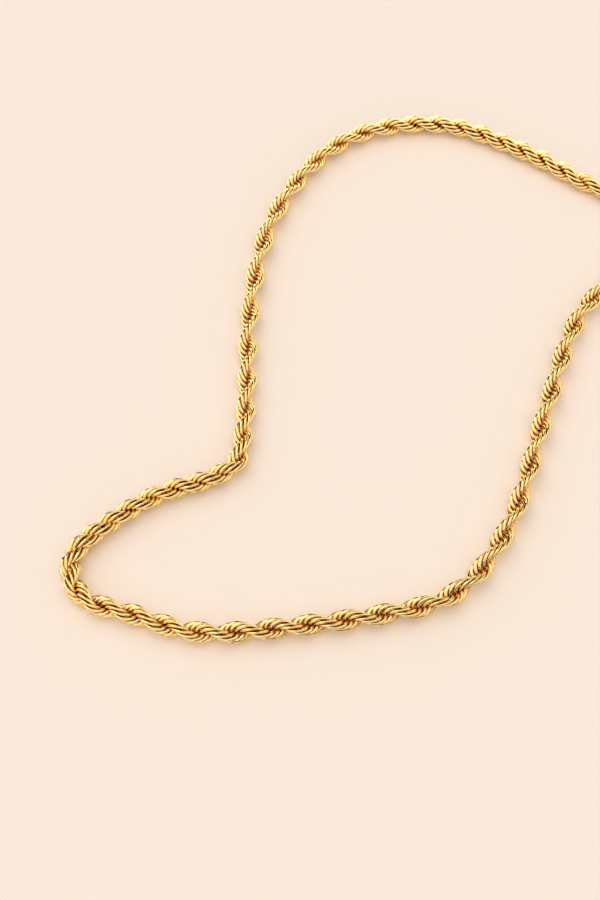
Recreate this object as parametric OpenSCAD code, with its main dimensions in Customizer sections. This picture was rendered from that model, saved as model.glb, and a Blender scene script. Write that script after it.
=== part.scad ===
// Twisted rope chain necklace: two halves of rope that meet at the middle of
// the chain, and one plain barrel clasp that joins their other ends. The
// necklace lies flat, with its underside on z = 0, +X to the right and +Y away.
// Each half has the rope's outer size and its true route. All sizes are in
// millimetres.

/* [Rope] */
// Width across the twisted rope
rope_w = 3; // [2.5:0.1:4]
// Flat sides round each half of rope
rope_sides = 8; // [8, 10, 12]

/* [Clasp] */
// Length of the clasp between the two rope ends
clasp_len = 10; // [8:0.5:13]
// Diameter of the clasp's barrel
clasp_d = 4; // [3.4:0.1:5]
// How far each end collar stands out around the rope
collar_lip = 0.2; // [0.2:0.05:0.3]
// Length of each end collar
collar_len = 1; // [0.6:0.1:1.5]
// Radius of the barrel's rounded shoulders
shoulder_r = 0.5; // [0.2:0.05:0.8]
// Width of the seam groove round the middle of the barrel
groove_w = 0.4; // [0.2:0.05:0.8]
// Depth of the seam groove
groove_depth = 0.2; // [0.1:0.05:0.3]

/* [Hidden] */
gold = [0.90, 0.66, 0.30];

// Middle of the clasp on the table, with its axis along Y
clasp_at = [83, 14.5];

// Centre line of the rope as laid on the table, from the clasp round the far
// side to the middle of the chain, and back along the near side to the clasp
rope_route = [
    [79.5, 26.5], [68.5, 32], [52, 33], [34, 30.5], [19, 28], [8, 28],
    [-3, 32.5], [-12.5, 39.5], [-23, 45.5], [-30.5, 47], [-38.5, 46],
    [-45.5, 42.5], [-51.5, 36], [-57, 25.5], [-59.5, 14.5], [-60.5, 3],
    [-60.5, -8], [-61, -17], [-62, -21], [-66, -23.5], [-73, -26],
    [-79.5, -30.5], [-83.5, -34.5], [-84, -38.5], [-81.5, -42], [-75.5, -44],
    [-65.5, -46.7], [-50.5, -45.5], [-36, -43], [-30, -40], [-26, -35.5],
    [-21.5, -27.5], [-16.5, -13.5], [-11.5, 0], [-7.5, 7.5], [-1, 13.5],
    [10, 15.5], [26, 12], [44, 5.5], [61.5, 1.5], [75.5, 3.5]
];
// Place in the list of the point where the two halves meet
middle_point = 21;
// Rings of the rope's skin in each span between two points
rings_per_span = 2;

// The rope ends stand at the clasp's two end faces
clasp_half = [0, clasp_len / 2];
far_end = clasp_at + clasp_half;
near_end = clasp_at - clasp_half;
stops = concat([far_end], rope_route, [near_end]);
last_stop = len(stops) - 1;

// The rope lies on the table and rises to the clasp's axis near its ends
rope_r = rope_w / 2;
clasp_r = clasp_d / 2;
end_rise = max(0, clasp_r - rope_r);
rise_len = 4 * rope_w;
corner_r = rope_r / cos(180 / rope_sides);

// Point i of the route; past each end it runs on along the clasp's axis
function stop_at(i) =
    i < 0 ? far_end - [0, norm(stops[1] - stops[0])] :
    i > last_stop ? near_end + [0, norm(stops[last_stop] - stops[last_stop - 1])] :
    stops[i];

// Smooth curve through four points in a row, t from 0 to 1 between b and c
function through(a, b, c, d, t) =
    (2 * b + (c - a) * t + (2 * a - 5 * b + 4 * c - d) * pow(t, 2)
    + (3 * b - a - 3 * c + d) * pow(t, 3)) / 2;

// Direction of that curve at t
function heading(a, b, c, d, t) =
    ((c - a) + 2 * (2 * a - 5 * b + 4 * c - d) * t
    + 3 * (3 * b - a - 3 * c + d) * pow(t, 2)) / 2;

// Centre and direction of the rope at u, counted in spans from the far end
function span_of(u) = min(floor(u), last_stop - 1);
function place(u) =
    let (i = span_of(u))
    through(stop_at(i - 1), stop_at(i), stop_at(i + 1), stop_at(i + 2), u - i);
function along(u) =
    let (i = span_of(u))
    u == 0 || u == last_stop ? [0, 1] :
    heading(stop_at(i - 1), stop_at(i), stop_at(i + 1), stop_at(i + 2), u - i);

// Height of the rope's centre over the table
function eased(x) = pow(x, 2) * (3 - 2 * x);
function height(p) =
    let (gap = min(norm(p - far_end), norm(p - near_end)))
    rope_r + end_rise * eased(max(0, 1 - gap / rise_len));

// One ring of the rope's skin, upright and square to the centre line
function ring(u) =
    let (p = place(u), way = along(u), side = [way[1], -way[0]] / norm(way))
    [for (k = [0 : rope_sides - 1])
        let (a = 360 * (k + 0.5) / rope_sides)
        [p[0] + corner_r * sin(a) * side[0],
         p[1] + corner_r * sin(a) * side[1],
         height(p) - corner_r * cos(a)]];

// A stretch of rope from point first to point last
module rope(first, last) {
    rings = (last - first) * rings_per_span;
    skin = [for (i = [0 : rings]) each ring(first + i / rings_per_span)];
    sides = [for (i = [0 : rings - 1], k = [0 : rope_sides - 1])
        let (a = i * rope_sides + k,
             b = i * rope_sides + (k + 1) % rope_sides)
        each [[a, b, a + rope_sides], [b, b + rope_sides, a + rope_sides]]];
    start_face = [for (k = [rope_sides - 1 : -1 : 0]) k];
    end_face = [for (k = [0 : rope_sides - 1]) rings * rope_sides + k];
    polyhedron(skin, concat(sides, [start_face, end_face]));
}

// The far half, from the clasp to the middle of the chain
module rope_far() {
    color(gold) rope(0, middle_point);
}

// The near half, from the middle of the chain to the clasp
module rope_near() {
    color(gold) rope(middle_point, last_stop);
}

// Half outline of the clasp, from its axis outwards, length along y
module clasp_outline() {
    half = clasp_len / 2;
    collar_r = rope_r + collar_lip;
    body_half = half - collar_len;
    difference() {
        union() {
            translate([0, -half]) square([collar_r, clasp_len]);
            translate([0, -body_half]) square([clasp_r - shoulder_r, 2 * body_half]);
            translate([0, shoulder_r - body_half])
                square([clasp_r, 2 * (body_half - shoulder_r)]);
            for (end = [-1, 1])
                translate([clasp_r - shoulder_r, end * (body_half - shoulder_r)])
                    circle(r = shoulder_r, $fn = 48);
        }
        translate([clasp_r - groove_depth, -groove_w / 2])
            square([clasp_r, groove_w]);
    }
}

// One plain barrel clasp, closed
module barrel_clasp() {
    color(gold)
        translate([clasp_at[0], clasp_at[1], rope_r + end_rise])
            rotate([-90, 0, 0])
                rotate_extrude($fn = 72) clasp_outline();
}

rope_far();
rope_near();
barrel_clasp();
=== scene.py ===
"""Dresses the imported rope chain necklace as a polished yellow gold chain.

The two halves of rope become some 670 interlocked wire links, laid by a
Geometry Nodes tree along the rope's centre line. The barrel clasp keeps its
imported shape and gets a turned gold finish. All sizes are in metres.
"""

import logging
import math
from collections.abc import Sequence
from dataclasses import dataclass, field
from enum import Enum

import bpy
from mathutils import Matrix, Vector


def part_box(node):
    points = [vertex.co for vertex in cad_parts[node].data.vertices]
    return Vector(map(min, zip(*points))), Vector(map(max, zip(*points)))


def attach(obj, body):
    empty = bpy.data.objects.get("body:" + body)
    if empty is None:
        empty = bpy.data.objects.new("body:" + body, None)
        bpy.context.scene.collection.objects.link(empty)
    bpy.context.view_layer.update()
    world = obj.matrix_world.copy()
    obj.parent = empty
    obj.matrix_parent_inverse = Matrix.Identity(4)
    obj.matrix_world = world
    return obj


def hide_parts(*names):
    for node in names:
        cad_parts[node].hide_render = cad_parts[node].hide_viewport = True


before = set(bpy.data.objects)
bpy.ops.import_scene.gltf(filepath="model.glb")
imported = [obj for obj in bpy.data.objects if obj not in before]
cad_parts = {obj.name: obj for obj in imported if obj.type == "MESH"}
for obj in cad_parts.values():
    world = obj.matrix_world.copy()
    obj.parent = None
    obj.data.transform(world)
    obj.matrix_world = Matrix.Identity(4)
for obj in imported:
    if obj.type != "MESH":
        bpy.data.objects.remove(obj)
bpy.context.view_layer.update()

LOG = logging.getLogger("rope_chain")
MM = 0.001
BODY = "root"
ROPE_WIDTH = 3.0 * MM
# How far off the wire the crowding rays start, as a share of its thickness
RAY_LIFT = 0.02

Place = tuple[float, float, float]
Colour = tuple[float, float, float]
Socket = bpy.types.NodeSocket
Amount = float | Socket
Tint = Colour | Socket
Inputs = dict[int | str, object]

# Where the key light and the tent's bright patch stand, and the tent's low tone
KEY_TOWARDS: Place = (-0.50, 0.45, 0.74)
TENT_LOW: Colour = (1.20, 0.98, 0.74)


class Slot(Enum):
    """The names of the two material slots."""

    ROPE = "rope_gold"
    CLASP = "clasp_gold"


class Half(Enum):
    """The two halves of rope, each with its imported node's name."""

    FAR = "rope_far"
    NEAR = "rope_near"

    @property
    def piece_name(self) -> str:
        """Name of the piece that stands for this half."""
        return f"{self.value}_links"


class NodeSheet:
    """Writes nodes and wires into one node tree."""

    def __init__(self, tree: bpy.types.NodeTree) -> None:
        """Takes over a tree and empties it.

        Args:
            tree: the node tree to write into.
        """
        self.tree = tree
        tree.nodes.clear()

    def feed(self, node: bpy.types.Node, sockets: Inputs) -> None:
        """Sets or wires some of a node's inputs.

        Args:
            node: the node to feed.
            sockets: value or output socket for each input, by name or number.
        """
        for key, value in sockets.items():
            if isinstance(value, Socket):
                self.tree.links.new(value, node.inputs[key])
            else:
                node.inputs[key].default_value = value

    def add(self, kind: str, sockets: Inputs | None = None, **settings: object) -> bpy.types.Node:
        """Adds one node.

        Args:
            kind: Blender's name for the node type.
            sockets: value or output socket for each input, by name or number.
            **settings: properties of the node itself.

        Returns:
            The new node.
        """
        node = self.tree.nodes.new(kind)
        for name, value in settings.items():
            setattr(node, name, value)
        self.feed(node, sockets or {})
        return node

    def math(self, operation: str, *values: Amount) -> Socket:
        """Adds a Math node.

        Args:
            operation: what the node does, such as ADD.
            *values: numbers or output sockets, in order.

        Returns:
            The node's result socket.
        """
        kind = "ShaderNodeMath"
        return self.add(kind, dict(enumerate(values)), operation=operation).outputs[0]

    def across(self, first: Socket, second: Socket) -> Socket:
        """Adds the nodes that find the distance from an axis.

        Args:
            first: distance along one direction square to the axis.
            second: distance along the other one.

        Returns:
            The distance's socket.
        """
        squares = [self.math("POWER", side, 2.0) for side in (first, second)]
        return self.math("SQRT", self.math("ADD", *squares))

    def noise(self, place: Socket, scale: float, detail: float = 2.0) -> Socket:
        """Adds a noise texture.

        Args:
            place: the coordinates that it reads.
            scale: how many spots there are to a metre.
            detail: how many finer layers it has.

        Returns:
            A socket that wanders between 0 and 1.
        """
        sockets = {"Vector": place, "Scale": scale, "Detail": detail}
        return self.add("ShaderNodeTexNoise", sockets).outputs["Fac"]

    def spread(self, value: Socket, low: float, high: float) -> Socket:
        """Adds a straight range.

        Args:
            value: the number to read, from 0 to 1.
            low: what 0 becomes.
            high: what 1 becomes.

        Returns:
            The range's socket.
        """
        sockets = {"Value": value, "To Min": low, "To Max": high}
        return self.add("ShaderNodeMapRange", sockets).outputs[0]

    def ease(self, value: Socket, low: float, high: float) -> Socket:
        """Adds a smooth step.

        Args:
            value: the number to read.
            low: where the step starts.
            high: where it ends; it may lie below low.

        Returns:
            A socket that runs from 0 at low to 1 at high.
        """
        ends = {"From Min": low, "From Max": high, "Value": value}
        kind = "ShaderNodeMapRange"
        return self.add(kind, ends, interpolation_type="SMOOTHSTEP").outputs[0]

    def blend(self, share: Amount, first: Tint, second: Tint) -> Socket:
        """Mixes two colours.

        Args:
            share: how much of the second one shows.
            first: colour or socket.
            second: colour or socket.

        Returns:
            The mixed colour's socket.
        """
        low, high = (tint if isinstance(tint, Socket) else (*tint, 1.0) for tint in (first, second))
        sockets = {0: share, 6: low, 7: high}
        return self.add("ShaderNodeMix", sockets, data_type="RGBA", blend_type="MIX").outputs[2]


def new_material(name: str) -> tuple[bpy.types.Material, NodeSheet, bpy.types.Node]:
    """Makes an empty material with one main shader.

    Args:
        name: the material's name.

    Returns:
        The material, its node sheet and its main shader node.
    """
    material = bpy.data.materials.new(name)
    material.use_nodes = True
    sheet = NodeSheet(material.node_tree)
    shader = sheet.add("ShaderNodeBsdfPrincipled")
    sheet.add("ShaderNodeOutputMaterial", {"Surface": shader.outputs[0]})
    return material, sheet, shader


def new_object(name: str, data: bpy.types.ID) -> bpy.types.Object:
    """Makes an object and puts it in the scene.

    Args:
        name: the object's name.
        data: its mesh, lamp or camera.

    Returns:
        The new object.
    """
    made = bpy.data.objects.new(name, data)
    bpy.context.scene.collection.objects.link(made)
    return made


def flat_sheet(name: str, corners: Sequence[Place],
               material: bpy.types.Material) -> bpy.types.Object:
    """Makes a flat sheet with four corners.

    Args:
        name: the object's name.
        corners: the corners in order round the sheet.
        material: what covers it.

    Returns:
        The sheet's object.
    """
    mesh = bpy.data.meshes.new(name)
    mesh.from_pydata(corners, [], [(0, 1, 2, 3)])
    mesh.materials.append(material)
    return new_object(name, mesh)


@dataclass(frozen=True)
class LinkGold:
    """Polished gold wire: bright in the open, with brown painted shade in the hollows and
    near-black painted shade where wires crowd.
    """

    name: str = "polished_link_gold"
    polished: Colour = (0.96, 0.72, 0.31)
    pale: Colour = (0.98, 0.79, 0.42)
    pale_share: float = 0.5
    # Brown painted shade, laid near the rope's axis and on wire faces that face other wires
    hollow_shade: Colour = (0.64, 0.30, 0.075)
    hollow_from: float = 0.55
    hollow_to: float = 0.15
    faced_from: float = 0.10
    faced_to: float = 0.70
    faced_share: float = 0.68
    # Near-black painted shade in the gaps where wires crowd closest
    crevice_shade: Colour = (0.04, 0.013, 0.004)
    crevice_from: float = 0.79
    crevice_to: float = 0.97
    crevice_share: float = 0.95
    rough_low: float = 0.03
    rough_high: float = 0.07
    rough_sunk: float = 0.04
    haze_scale: float = 900.0
    haze_detail: float = 3.0
    haze_share: float = 0.6
    dent_scale: float = 1500.0
    dent_height: float = 4e-6
    dent_strength: float = 0.25

    def make(self) -> bpy.types.Material:
        """Builds the material.

        Returns:
            A material that reads the links' tone, depth and crowding attributes, and paints shade
            where the depth is small or wires crowd.
        """
        material, sheet, shader = new_material(self.name)
        place = sheet.add("ShaderNodeTexCoord").outputs["Object"]
        tone, depth, crowd = (sheet.add("ShaderNodeAttribute", attribute_name=name).outputs["Fac"]
                              for name in ("tone", "depth", "crowding"))
        # Painted shade mask: near the rope's axis (the hollow eyes) and where wires face other
        # wires
        inner = sheet.ease(depth, self.hollow_from, self.hollow_to)
        faced = sheet.ease(crowd, self.faced_from, self.faced_to)
        sunk = sheet.math("MAXIMUM", inner, sheet.math("MULTIPLY", faced, self.faced_share))
        # Painted shade mask for the gaps between crowded wires
        dark = sheet.ease(crowd, self.crevice_from, self.crevice_to)
        skin = sheet.blend(sheet.math("MULTIPLY", tone, self.pale_share), self.polished, self.pale)
        colour = sheet.blend(sunk, skin, self.hollow_shade)
        colour = sheet.blend(sheet.math("MULTIPLY", dark, self.crevice_share), colour, self.crevice_shade)
        haze = sheet.noise(place, self.haze_scale, self.haze_detail)
        wander = sheet.math("ADD", sheet.math("MULTIPLY", haze, self.haze_share),
                            sheet.math("MULTIPLY", tone, 1 - self.haze_share))
        rough = sheet.spread(wander, self.rough_low, self.rough_high)
        rough = sheet.math("ADD", rough, sheet.math("MULTIPLY", sunk, self.rough_sunk))
        dents = sheet.noise(place, self.dent_scale)
        bump = sheet.add("ShaderNodeBump", {"Height": dents, "Strength": self.dent_strength,
                                            "Distance": self.dent_height})
        sheet.feed(shader, {"Metallic": 1.0, "Base Color": colour, "Roughness": rough,
                            "Normal": bump.outputs[0]})
        return material


@dataclass(frozen=True)
class TurnedGold:
    """Lathe-turned gold of the clasp: fine rings round its axis and a darker seam."""

    name: str = "turned_clasp_gold"
    polished: Colour = (0.95, 0.67, 0.30)
    seam: Colour = (0.42, 0.20, 0.06)
    seam_shade: float = 0.15 * MM
    seam_fade: float = 0.1 * MM
    ring_pitch: float = 0.06 * MM
    ring_height: float = 1.5e-6
    ring_strength: float = 0.3
    rough_low: float = 0.12
    rough_high: float = 0.26
    smudge_scale: float = 500.0
    smudge_detail: float = 4.0

    def make(self, middle: Vector, barrel_radius: float,
             seam_half: float) -> bpy.types.Material:
        """Builds the material.

        Args:
            middle: centre of the clasp, whose axis runs along Y.
            barrel_radius: outer radius of the barrel.
            seam_half: half the width of the seam groove.

        Returns:
            A material that draws the lathe rings and the seam round that axis.
        """
        material, sheet, shader = new_material(self.name)
        place = sheet.add("ShaderNodeTexCoord").outputs["Object"]
        shift = {"Vector": place, "Location": tuple(-middle)}
        local = sheet.add("ShaderNodeMapping", shift).outputs[0]
        axes = sheet.add("ShaderNodeSeparateXYZ", {"Vector": local}).outputs
        radius = sheet.across(axes["X"], axes["Z"])
        along = sheet.math("ABSOLUTE", axes["Y"])
        inside = sheet.ease(radius, barrel_radius, barrel_radius - self.seam_shade)
        near = sheet.ease(along, seam_half + self.seam_fade, seam_half)
        sunk = sheet.math("MULTIPLY", inside, near)
        colour = sheet.blend(sunk, self.polished, self.seam)
        smudge = sheet.noise(local, self.smudge_scale, self.smudge_detail)
        rough = sheet.spread(smudge, self.rough_low, self.rough_high)
        rings = sheet.math("SINE", sheet.math("MULTIPLY", axes["Y"], math.tau / self.ring_pitch))
        bump = sheet.add("ShaderNodeBump", {"Height": rings, "Strength": self.ring_strength,
                                            "Distance": self.ring_height})
        sheet.feed(shader, {"Metallic": 1.0, "Base Color": colour, "Roughness": rough,
                            "Normal": bump.outputs[0]})
        return material


@dataclass(frozen=True)
class PaperFinish:
    """Matt pale peach paper of the tabletop."""

    name: str = "peach_paper"
    light: Colour = (0.955, 0.84, 0.74)
    dark: Colour = (0.945, 0.83, 0.73)
    mottle_scale: float = 9.0
    roughness: float = 0.85
    shine: float = 0.0

    def make(self) -> bpy.types.Material:
        """Builds the material.

        Returns:
            A matt material with a very faint mottle.
        """
        material, sheet, shader = new_material(self.name)
        place = sheet.add("ShaderNodeTexCoord").outputs["Object"]
        colour = sheet.blend(sheet.noise(place, self.mottle_scale), self.light, self.dark)
        sheet.feed(shader, {"Base Color": colour, "Roughness": self.roughness,
                            "Specular IOR Level": self.shine})
        return material


@dataclass(frozen=True)
class RoutePoint:
    """One point of the rope's centre line."""

    place: Vector
    heading: Vector
    distance: float


@dataclass(frozen=True)
class RopeRoute:
    """The rope's centre line, from the clasp's far end round the loop to its near end.

    The stops lie on the table, and the two halves meet at the middle one. Near
    the clasp the line rises over a few rope widths to the clasp's axis.
    """

    rope_width: float = ROPE_WIDTH
    rise_widths: float = 4.0
    steps_per_span: int = 40
    middle_stop: int = 21
    stops: tuple[tuple[float, float], ...] = (
        (0.0795, 0.0265), (0.0685, 0.032), (0.052, 0.033), (0.034, 0.0305),
        (0.019, 0.028), (0.008, 0.028), (-0.003, 0.0325), (-0.0125, 0.0395),
        (-0.023, 0.0455), (-0.0305, 0.047), (-0.0385, 0.046), (-0.0455, 0.0425),
        (-0.0515, 0.036), (-0.057, 0.0255), (-0.0595, 0.0145), (-0.0605, 0.003),
        (-0.0605, -0.008), (-0.061, -0.017), (-0.062, -0.021), (-0.066, -0.0235),
        (-0.073, -0.026), (-0.0795, -0.0305), (-0.0835, -0.0345), (-0.084, -0.0385),
        (-0.0815, -0.042), (-0.0755, -0.044), (-0.0655, -0.0467), (-0.0505, -0.0455),
        (-0.036, -0.043), (-0.030, -0.040), (-0.026, -0.0355), (-0.0215, -0.0275),
        (-0.0165, -0.0135), (-0.0115, 0.0), (-0.0075, 0.0075), (-0.001, 0.0135),
        (0.010, 0.0155), (0.026, 0.012), (0.044, 0.0055), (0.0615, 0.0015),
        (0.0755, 0.0035),
    )

    def height(self, spot: Vector, ends: tuple[Vector, Vector], clasp_height: float) -> float:
        """Height of the centre line over the table, which rises to the clasp's axis.

        Args:
            spot: place on the table.
            ends: the two ends of the rope on the table.
            clasp_height: height of the clasp's axis.

        Returns:
            The height in metres.
        """
        low = self.rope_width / 2
        gap = min((spot - end).length for end in ends)
        share = max(0.0, 1 - gap / (self.rise_widths * self.rope_width))
        return low + (clasp_height - low) * share ** 2 * (3 - 2 * share)

    def trace(self) -> tuple[list[RoutePoint], float]:
        """Traces the centre line closely.

        Returns:
            The points in order, and the distance at which the two halves meet.
        """
        low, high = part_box("barrel_clasp")
        axis_x, axis_z = (low.x + high.x) / 2, (low.z + high.z) / 2
        ends = (Vector((axis_x, high.y)), Vector((axis_x, low.y)))
        spots = [ends[0], *(Vector(stop) for stop in self.stops), ends[1]]
        before = ends[0] - Vector((0, (spots[1] - spots[0]).length))
        after = ends[1] + Vector((0, (spots[-1] - spots[-2]).length))
        spots = [before, *spots, after]
        flat: list[Vector] = []
        for a, b, c, d in zip(spots, spots[1:], spots[2:], spots[3:]):
            flat += [self.between(a, b, c, d, step / self.steps_per_span)
                     for step in range(self.steps_per_span)]
        flat.append(ends[1])
        places = [Vector((*spot, self.height(spot, ends, axis_z))) for spot in flat]
        points, distance = [], 0.0
        for index, place in enumerate(places):
            back, on = places[max(index - 1, 0)], places[min(index + 1, len(places) - 1)]
            distance += (place - back).length
            points.append(RoutePoint(place, (on - back).normalized(), distance))
        return points, points[self.middle_stop * self.steps_per_span].distance

    @staticmethod
    def between(a: Vector, b: Vector, c: Vector, d: Vector, share: float) -> Vector:
        """Smooth curve through four stops in a row.

        Args:
            a: stop before the span.
            b: start of the span.
            c: end of the span.
            d: stop after the span.
            share: how far along the span, 0 to 1.

        Returns:
            The point on the curve.
        """
        return (2 * b + (c - a) * share + (2 * a - 5 * b + 4 * c - d) * share ** 2
                + (3 * b - a - 3 * c + d) * share ** 3) / 2


@dataclass(frozen=True)
class Twist:
    """How far the rope has turned at each distance.

    Each mark pairs a distance along the rope with the half turns made by there,
    counted from the turn that the rope has at its first end.
    """

    marks: tuple[tuple[float, float], ...] = (
        (0.0, 0.0), (0.095, 19.2), (0.135, 29.0), (0.150, 31.9), (0.192, 38.15),
        (0.200, 39.6), (0.2085, 41.62), (0.217, 44.04), (0.228, 47.1), (0.238, 50.6),
        (0.252, 54.05), (0.268, 57.38), (0.290, 61.75), (0.352, 71.7), (0.4475, 90.8),
    )
    first: float = -0.5

    def slopes(self) -> list[float]:
        """Works out how fast the rope turns at every mark.

        Returns:
            Half turns for each metre, in the marks' order.
        """
        spans = [(d2 - d1, (t2 - t1) / (d2 - d1))
                 for (d1, t1), (d2, t2) in zip(self.marks, self.marks[1:])]
        inner = [(s1 * w2 + s2 * w1) / (w1 + w2) for (w1, s1), (w2, s2) in zip(spans, spans[1:])]
        return [spans[0][1], *inner, spans[-1][1]]

    def at(self, distance: float) -> tuple[float, float]:
        """Reads the twist.

        Args:
            distance: how far along the rope.

        Returns:
            Half turns so far, and half turns for each metre there.
        """
        slopes = self.slopes()
        index = sum(distance >= mark[0] for mark in self.marks[1:-1])
        (d1, t1), (d2, t2) = self.marks[index:index + 2]
        wide = d2 - d1
        s = (distance - d1) / wide
        m1, m2 = slopes[index] * wide, slopes[index + 1] * wide
        turns = ((2 * s ** 3 - 3 * s ** 2 + 1) * t1 + (s ** 3 - 2 * s ** 2 + s) * m1
                 + (3 * s ** 2 - 2 * s ** 3) * t2 + (s ** 3 - s ** 2) * m2)
        rate = ((6 * s ** 2 - 6 * s) * (t1 - t2) + (3 * s ** 2 - 4 * s + 1) * m1
                + (3 * s ** 2 - 2 * s) * m2) / wide
        return turns + self.first, rate


@dataclass(frozen=True)
class LinkForm:
    """One oval wire link, and how closely the links follow each other.

    The wire's depth is given as a multiple of its thickness. The pitch holds
    for the usual lobe length and gives a little where the twist is slower.
    """

    rope_width: float = ROPE_WIDTH
    half_across: float = 1.225 * MM
    half_along: float = 1.52 * MM
    wire: float = 0.41 * MM
    wire_depth: float = 1.5
    ring_sides: int = 16
    wire_sides: int = 6
    pitch: float = 0.665 * MM
    usual_lobe: float = 4.95 * MM
    pitch_give: float = 0.5
    wobble: float = math.radians(1.5)
    seed: int = 7

    def pitch_at(self, rate: float) -> float:
        """Distance between links where the rope turns at this rate.

        Args:
            rate: half turns for each metre.

        Returns:
            The pitch, wider where the twist is slower.
        """
        return self.pitch * (1 / (rate * self.usual_lobe)) ** self.pitch_give


@dataclass(frozen=True)
class LinkSeat:
    """Where one link sits: its centre, the rope's heading there and its turn."""

    place: Vector
    heading: Vector
    turn: float


@dataclass
class RopeChain:
    """Both halves of the rope, made as interlocked links."""

    route: RopeRoute = field(default_factory=RopeRoute)
    twist: Twist = field(default_factory=Twist)
    link: LinkForm = field(default_factory=LinkForm)
    finish: LinkGold = field(default_factory=LinkGold)

    def build(self) -> list[bpy.types.Object]:
        """Makes both halves and fits them to the frame.

        Returns:
            The two pieces.
        """
        points, meeting = self.route.trace()
        tree, sockets = self.link_tree()
        gold = self.finish.make()
        spans = {Half.FAR: (0.0, meeting), Half.NEAR: (meeting, points[-1].distance)}
        pieces = []
        for half, (start, end) in spans.items():
            seats = self.seats(points, start, end)
            piece = self.lay_links(half, seats, tree, sockets, gold)
            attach(piece, BODY)
            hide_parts(half.value)
            LOG.info("%s: %d links, %d faces", piece.name, len(seats), len(piece.data.polygons))
            pieces.append(piece)
        return pieces

    def seats(self, points: Sequence[RoutePoint], start: float, end: float) -> list[LinkSeat]:
        """Seats whole links between two distances along the rope.

        Args:
            points: the traced centre line.
            start: distance at which the stretch starts.
            end: distance at which it ends.

        Returns:
            The links' seats, evenly closed up to both ends.
        """
        count, marks = 0.0, []
        stretch = [p for p in points if start <= p.distance <= end]
        for here, there in zip(stretch, stretch[1:]):
            marks.append((count, here, there))
            rate = self.twist.at((here.distance + there.distance) / 2)[1]
            step = (there.distance - here.distance) / self.link.pitch_at(rate)
            count += step
        whole = round(count)
        seats, cursor = [], 0
        for number in range(whole):
            wanted = (number + 0.5) * count / whole
            while cursor + 1 < len(marks) and marks[cursor + 1][0] <= wanted:
                cursor += 1
            low, here, there = marks[cursor]
            high = marks[cursor + 1][0] if cursor + 1 < len(marks) else count
            share = (wanted - low) / (high - low)
            distance = here.distance + (there.distance - here.distance) * share
            heading = here.heading.lerp(there.heading, share).normalized()
            turn = math.pi * self.twist.at(distance)[0]
            seats.append(LinkSeat(here.place.lerp(there.place, share), heading, turn))
        return seats

    def link_tree(self) -> tuple[bpy.types.NodeTree, dict[str, str]]:
        """Builds the Geometry Nodes tree that sets a turned link on every seat.

        Returns:
            The tree, and each named input's identifier.
        """
        tree = bpy.data.node_groups.new("links_on_seats", "GeometryNodeTree")
        tree.is_modifier = True
        panel = tree.interface
        panel.new_socket("Seats", in_out="INPUT", socket_type="NodeSocketGeometry")
        kinds = {"Half across": "Float", "Half along": "Float", "Wire": "Float",
                 "Wire depth": "Float", "Ring sides": "Int", "Wire sides": "Int",
                 "Rope width": "Float", "Wobble": "Float", "Seed": "Int", "Gold": "Material"}
        names = {}
        for name, kind in kinds.items():
            socket = panel.new_socket(name, in_out="INPUT", socket_type=f"NodeSocket{kind}")
            names[name] = socket.identifier
        panel.new_socket("Links", in_out="OUTPUT", socket_type="NodeSocketGeometry")
        sheet = NodeSheet(tree)
        given = sheet.add("NodeGroupInput").outputs
        link = self.link_nodes(sheet, given)
        turned = self.turn_nodes(sheet, given)
        placed = sheet.add("GeometryNodeInstanceOnPoints",
                           {"Points": given["Seats"], "Instance": link, "Rotation": turned})
        tone = sheet.add("FunctionNodeRandomValue", {"Seed": given["Seed"]}, data_type="FLOAT")
        toned = sheet.add("GeometryNodeStoreNamedAttribute",
                          {"Geometry": placed.outputs[0], "Name": "tone",
                           "Value": tone.outputs["Value"]},
                          data_type="FLOAT", domain="INSTANCE")
        real = sheet.add("GeometryNodeRealizeInstances", {0: toned.outputs[0]})
        shaded = self.crowding_nodes(sheet, given, real.outputs[0])
        coated = sheet.add("GeometryNodeSetMaterial",
                           {"Geometry": shaded, "Material": given["Gold"]})
        sheet.add("NodeGroupOutput", {0: coated.outputs[0]})
        return tree, names

    @staticmethod
    def link_nodes(sheet: NodeSheet, given: bpy.types.NodeOutputs) -> Socket:
        """Adds the nodes of one link, a closed ring whose own X lies along the rope.

        Args:
            sheet: where the nodes go.
            given: the tree's named inputs.

        Returns:
            The link's geometry socket.
        """
        ring = sheet.add("GeometryNodeCurvePrimitiveCircle",
                         {"Resolution": given["Ring sides"], "Radius": given["Half across"]})
        longer = sheet.math("DIVIDE", given["Half along"], given["Half across"])
        stretch = sheet.add("ShaderNodeCombineXYZ", {0: longer, 1: 1.0, 2: 1.0})
        oval = sheet.add("GeometryNodeTransform",
                         {"Geometry": ring.outputs[0], "Scale": stretch.outputs[0]})
        section = sheet.add("GeometryNodeCurvePrimitiveCircle",
                            {"Resolution": given["Wire sides"],
                             "Radius": sheet.math("MULTIPLY", given["Wire"], 0.5)})
        deeper = sheet.add("ShaderNodeCombineXYZ", {0: 1.0, 1: given["Wire depth"], 2: 1.0})
        section = sheet.add("GeometryNodeTransform",
                            {"Geometry": section.outputs[0], "Scale": deeper.outputs[0],
                             "Rotation": (0.0, 0.0, math.pi / 2)})
        wire = sheet.add("GeometryNodeCurveToMesh",
                         {"Curve": oval.outputs[0], "Profile Curve": section.outputs[0]})
        place = sheet.add("GeometryNodeInputPosition").outputs[0]
        axes = sheet.add("ShaderNodeSeparateXYZ", {0: place}).outputs
        # Distance from the rope's axis; the gold material paints shade where it is small
        out = sheet.across(axes["Y"], axes["Z"])
        depth = sheet.math("DIVIDE", sheet.math("MULTIPLY", out, 2.0), given["Rope width"])
        marked = sheet.add("GeometryNodeStoreNamedAttribute",
                           {"Geometry": wire.outputs[0], "Name": "depth", "Value": depth},
                           data_type="FLOAT", domain="POINT")
        return sheet.add("GeometryNodeSetShadeSmooth", {0: marked.outputs[0]}).outputs[0]

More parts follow.
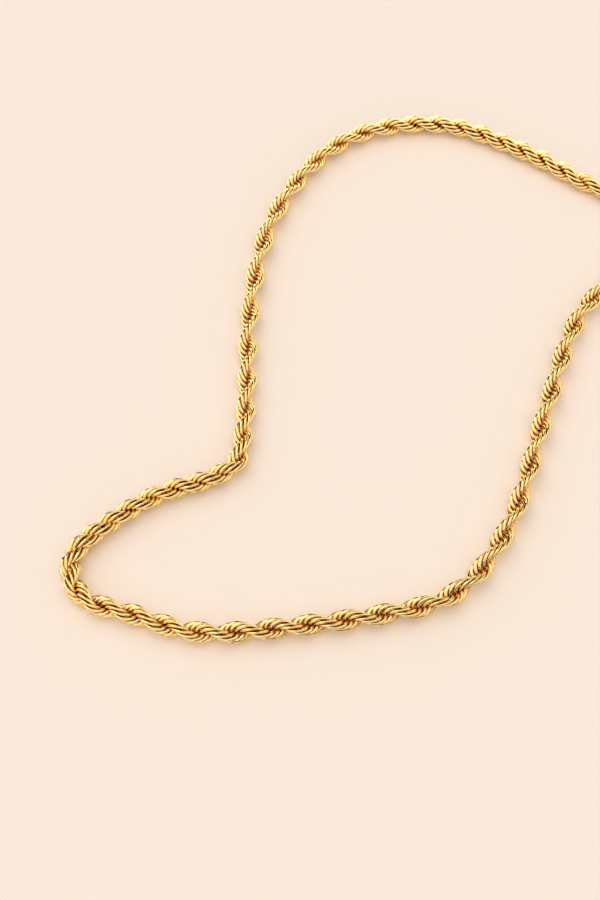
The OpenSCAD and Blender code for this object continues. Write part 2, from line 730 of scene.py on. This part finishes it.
    @staticmethod
    def crowding_nodes(sheet: NodeSheet, given: bpy.types.NodeOutputs, links: Socket) -> Socket:
        """Adds the nodes that mark how closely other wire faces each spot.

        Args:
            sheet: where the nodes go.
            given: the tree's named inputs.
            links: geometry of all the links.

        Returns:
            The links with a crowding attribute, 1 where wires touch and 0 in the open; the gold
            material paints shade from it.
        """
        normal = sheet.add("GeometryNodeInputNormal").outputs[0]
        place = sheet.add("GeometryNodeInputPosition").outputs[0]
        lift = sheet.add("ShaderNodeVectorMath",
                         {0: normal, "Scale": sheet.math("MULTIPLY", given["Wire"], RAY_LIFT)},
                         operation="SCALE").outputs[0]
        start = sheet.add("ShaderNodeVectorMath", {0: place, 1: lift}, operation="ADD").outputs[0]
        reach = given["Rope width"]
        ray = sheet.add("GeometryNodeRaycast",
                        {"Target Geometry": links, "Source Position": start,
                         "Ray Direction": normal, "Ray Length": reach})
        near = sheet.math("SUBTRACT", 1.0, sheet.math("DIVIDE", ray.outputs["Hit Distance"], reach))
        crowd = sheet.math("MULTIPLY", near, ray.outputs["Is Hit"])
        return sheet.add("GeometryNodeStoreNamedAttribute",
                         {"Geometry": links, "Name": "crowding", "Value": crowd},
                         data_type="FLOAT", domain="POINT").outputs[0]

    @staticmethod
    def turn_nodes(sheet: NodeSheet, given: bpy.types.NodeOutputs) -> Socket:
        """Adds the nodes that turn each link about the rope's heading.

        Args:
            sheet: where the nodes go.
            given: the tree's named inputs.

        Returns:
            The rotation socket.
        """
        heading = sheet.add("GeometryNodeInputNamedAttribute", {"Name": "heading"},
                            data_type="FLOAT_VECTOR").outputs[0]
        turn = sheet.add("GeometryNodeInputNamedAttribute", {"Name": "turn"},
                         data_type="FLOAT").outputs[0]
        flat = sheet.add("FunctionNodeAxesToRotation",
                         {0: heading, 1: (0.0, 0.0, 1.0)},
                         primary_axis="X", secondary_axis="Z")
        rolled = sheet.add("FunctionNodeAxisAngleToRotation",
                           {"Axis": (1.0, 0.0, 0.0), "Angle": turn})
        most = sheet.add("ShaderNodeCombineXYZ", {axis: given["Wobble"] for axis in range(3)})
        least = sheet.add("ShaderNodeVectorMath", {0: most.outputs[0], "Scale": -1.0},
                          operation="SCALE")
        sway = sheet.add("FunctionNodeRandomValue",
                         {"Min": least.outputs[0], "Max": most.outputs[0],
                          "Seed": given["Seed"]}, data_type="FLOAT_VECTOR")
        swayed = sheet.add("FunctionNodeEulerToRotation", {0: sway.outputs["Value"]})
        first = sheet.add("FunctionNodeRotateRotation",
                          {"Rotation": flat.outputs[0], "Rotate By": rolled.outputs[0]},
                          rotation_space="LOCAL")
        second = sheet.add("FunctionNodeRotateRotation",
                           {"Rotation": first.outputs[0], "Rotate By": swayed.outputs[0]},
                           rotation_space="LOCAL")
        return second.outputs[0]

    def lay_links(self, half: Half, seats: Sequence[LinkSeat], tree: bpy.types.NodeTree,
                  sockets: dict[str, str], gold: bpy.types.Material) -> bpy.types.Object:
        """Runs the tree over one half's seats and keeps the plain mesh.

        Args:
            half: which half of the rope.
            seats: the links' seats.
            tree: the tree that sets a link on each seat.
            sockets: identifiers of the tree's named inputs.
            gold: the links' material.

        Returns:
            The finished piece.
        """
        mesh = bpy.data.meshes.new(f"{half.value}_seats")
        mesh.from_pydata([seat.place for seat in seats], [], [])
        heading = mesh.attributes.new("heading", "FLOAT_VECTOR", "POINT")
        heading.data.foreach_set("vector", [value for seat in seats for value in seat.heading])
        turn = mesh.attributes.new("turn", "FLOAT", "POINT")
        turn.data.foreach_set("value", [seat.turn for seat in seats])
        holder = new_object(mesh.name, mesh)
        modifier = holder.modifiers.new("links", "NODES")
        modifier.node_group = tree
        sizes = {"Half across": self.link.half_across, "Half along": self.link.half_along,
                 "Wire": self.link.wire, "Wire depth": self.link.wire_depth,
                 "Ring sides": self.link.ring_sides, "Wire sides": self.link.wire_sides,
                 "Rope width": self.link.rope_width, "Wobble": self.link.wobble,
                 "Seed": self.link.seed, "Gold": gold}
        for name, value in sizes.items():
            modifier[sockets[name]] = value
        graph = bpy.context.evaluated_depsgraph_get()
        made = bpy.data.meshes.new_from_object(holder.evaluated_get(graph))
        holder.modifiers.remove(modifier)
        bpy.data.objects.remove(holder)
        made.name = half.piece_name
        return new_object(half.piece_name, made)


@dataclass
class BarrelClasp:
    """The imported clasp, which keeps its shape and gets its finish."""

    node: str = "barrel_clasp"
    seam_width: float = 0.4 * MM
    finish: TurnedGold = field(default_factory=TurnedGold)

    def dress(self) -> bpy.types.Object:
        """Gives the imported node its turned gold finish.

        Returns:
            The clasp's object.
        """
        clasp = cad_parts[self.node]
        low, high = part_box(self.node)
        gold = self.finish.make((low + high) / 2, (high.z - low.z) / 2, self.seam_width / 2)
        for holder in clasp.material_slots:
            holder.material = gold
        LOG.info("%s: slot %s finished as %s", self.node, Slot.CLASP.value, gold.name)
        return clasp


@dataclass(frozen=True)
class BroadLight:
    """One broad, even studio light, far from the table, with its breadth in degrees."""

    name: str
    towards: Place
    breadth: float
    strength: float
    colour: Colour

    def make(self) -> bpy.types.Object:
        """Puts the light in the scene.

        Returns:
            The light's object.
        """
        lamp = bpy.data.lights.new(self.name, "SUN")
        lamp.angle = math.radians(self.breadth)
        lamp.energy = self.strength
        lamp.color = self.colour
        light = new_object(self.name, lamp)
        light.visible_glossy = False
        light.location = Vector(self.towards).normalized()
        light.rotation_euler = Vector(self.towards).to_track_quat("Z", "Y").to_euler()
        return light


@dataclass(frozen=True)
class MirrorCard:
    """A low upright card on the table that only the gold mirrors.

    It reaches along X from one place to another, and stands away along Y.
    """

    name: str
    reach: tuple[float, float]
    away: float
    height: float
    colour: Colour
    bounced: Colour = TENT_LOW

    def make(self) -> bpy.types.Object:
        """Stands the card up on the table, facing the rope.

        Light that the gold passes on to the table keeps the tent's colour.

        Returns:
            The card's object.
        """
        left, right = self.reach
        corners = [(left, self.away, 0.0), (right, self.away, 0.0),
                   (right, self.away, self.height), (left, self.away, self.height)]
        material = bpy.data.materials.new(f"{self.name}_glow")
        material.use_nodes = True
        sheet = NodeSheet(material.node_tree)
        depth = sheet.add("ShaderNodeLightPath").outputs["Diffuse Depth"]
        shown = sheet.blend(sheet.math("MINIMUM", depth, 1.0), self.colour, self.bounced)
        glow = sheet.add("ShaderNodeEmission", {"Color": shown})
        sheet.add("ShaderNodeOutputMaterial", {"Surface": glow.outputs[0]})
        card = flat_sheet(self.name, corners, material)
        card.visible_camera = card.visible_diffuse = card.visible_shadow = False
        return card


@dataclass
class Studio:
    """Camera, pale tabletop, soft light and what the gold mirrors."""

    floor_half: float = 1.6
    floor_drop: float = 0.02 * MM
    paper: PaperFinish = field(default_factory=PaperFinish)
    camera_place: Place = (-0.0525, -0.10325, 0.14829)
    camera_tilt: float = math.radians(30)
    camera_clip: tuple[float, float] = (0.01, 20.0)
    focal_pixels: float = 1161.0
    frame_pixels: tuple[int, int] = (600, 900)
    sensor: float = 36.0
    lights: tuple[BroadLight, ...] = (
        BroadLight("key", KEY_TOWARDS, breadth=60.0, strength=0.50, colour=(0.90, 0.96, 1.0)),
    )
    cards: tuple[MirrorCard, ...] = (
        MirrorCard("bright_card", reach=(-0.22, 0.20), away=0.068, height=0.022,
                   colour=(2.7, 2.57, 2.05)),
        MirrorCard("dark_card", reach=(-0.060, 0.04), away=-0.08, height=0.03,
                   colour=(0.10, 0.035, 0.0)),
    )
    ambient: Colour = (0.868, 0.843, 0.819)
    bounce: Colour = (3.6, 3.3, 3.0)
    backdrop: Colour = (0.95, 0.83, 0.715)
    wall: Colour = (0.03, 0.015, 0.006)
    tent_low: Colour = TENT_LOW
    tent_high: Colour = (1.09, 1.07, 1.05)
    tent_rise: tuple[float, float] = (0.05, 0.65)
    patch: Colour = (2.8, 2.6, 2.2)
    patch_towards: Place = KEY_TOWARDS
    patch_edge: tuple[float, float] = (0.91, 0.96)
    wall_rise: float = 2.0
    wall_narrowing: float = 0.9
    wall_edge: tuple[float, float] = (0.08, 0.16)

    def build(self) -> bpy.types.Object:
        """Sets the whole studio.

        Returns:
            The camera's object.
        """
        self.lay_floor()
        self.set_world()
        for light in self.lights:
            light.make()
        for card in self.cards:
            card.make()
        scene = bpy.context.scene
        scene.view_settings.view_transform = "Standard"
        scene.view_settings.look = "None"
        camera = self.set_camera()
        LOG.info("studio: floor, %d light, %d cards and the camera", len(self.lights),
                 len(self.cards))
        return camera

    def lay_floor(self) -> bpy.types.Object:
        """Lays the tabletop just under the rope.

        Returns:
            The floor's object.
        """
        far, level = self.floor_half, -self.floor_drop
        corners = [(-far, -far, level), (far, -far, level), (far, far, level), (-far, far, level)]
        floor = flat_sheet("tabletop", corners, self.paper.make())
        return floor

    def set_world(self) -> bpy.types.World:
        """Surrounds the table with what each kind of ray should meet.

        The gold mirrors a pale tent with a bright patch and a dark wall at the
        back. The paper gets even light, and the camera sees a plain backdrop.

        Returns:
            The world.
        """
        world = bpy.data.worlds.new("studio")
        world.use_nodes = True
        bpy.context.scene.world = world
        sheet = NodeSheet(world.node_tree)
        way = sheet.add("ShaderNodeTexCoord").outputs["Generated"]
        axes = sheet.add("ShaderNodeSeparateXYZ", {0: way}).outputs
        aside = sheet.math("MULTIPLY", sheet.math("ABSOLUTE", axes["X"]), self.wall_narrowing)
        behind = sheet.math("MAXIMUM", sheet.math("SUBTRACT", axes["Y"], aside), 0.0)
        wall_top = sheet.math("MULTIPLY", behind, self.wall_rise)
        lit = sheet.ease(sheet.math("SUBTRACT", axes["Z"], wall_top), *self.wall_edge)
        high = sheet.ease(axes["Z"], *self.tent_rise)
        tent = sheet.blend(high, self.tent_low, self.tent_high)
        patch = sheet.add("ShaderNodeVectorMath",
                          {0: way, 1: tuple(Vector(self.patch_towards).normalized())},
                          operation="DOT_PRODUCT").outputs["Value"]
        tent = sheet.blend(sheet.ease(patch, *self.patch_edge), tent, self.patch)
        shell = sheet.blend(lit, self.wall, tent)
        path = sheet.add("ShaderNodeLightPath").outputs
        on_paper = sheet.math("MINIMUM", path["Diffuse Depth"], 1.0)
        soft = sheet.blend(path["Is Diffuse Ray"], self.bounce, self.ambient)
        seen = sheet.blend(on_paper, shell, soft)
        seen = sheet.blend(path["Is Camera Ray"], seen, self.backdrop)
        back = sheet.add("ShaderNodeBackground", {"Color": seen, "Strength": 1.0})
        sheet.add("ShaderNodeOutputWorld", {"Surface": back.outputs[0]})
        return world

    def set_camera(self) -> bpy.types.Object:
        """Makes the camera at the photograph's viewing angle.

        Returns:
            The camera's object.
        """
        data = bpy.data.cameras.new("camera")
        data.sensor_fit = "AUTO"
        data.sensor_width = self.sensor
        data.lens = self.focal_pixels * self.sensor / max(self.frame_pixels)
        data.clip_start, data.clip_end = self.camera_clip
        camera = new_object("camera", data)
        camera.location = self.camera_place
        camera.rotation_euler = (self.camera_tilt, 0.0, 0.0)
        bpy.context.scene.camera = camera
        return camera


def main() -> None:
    """Builds the studio, the rope and the clasp, in that order."""
    logging.basicConfig(level=logging.INFO, format="%(message)s")
    Studio().build()
    RopeChain().build()
    BarrelClasp().dress()


if __name__ == "__main__":
    main()
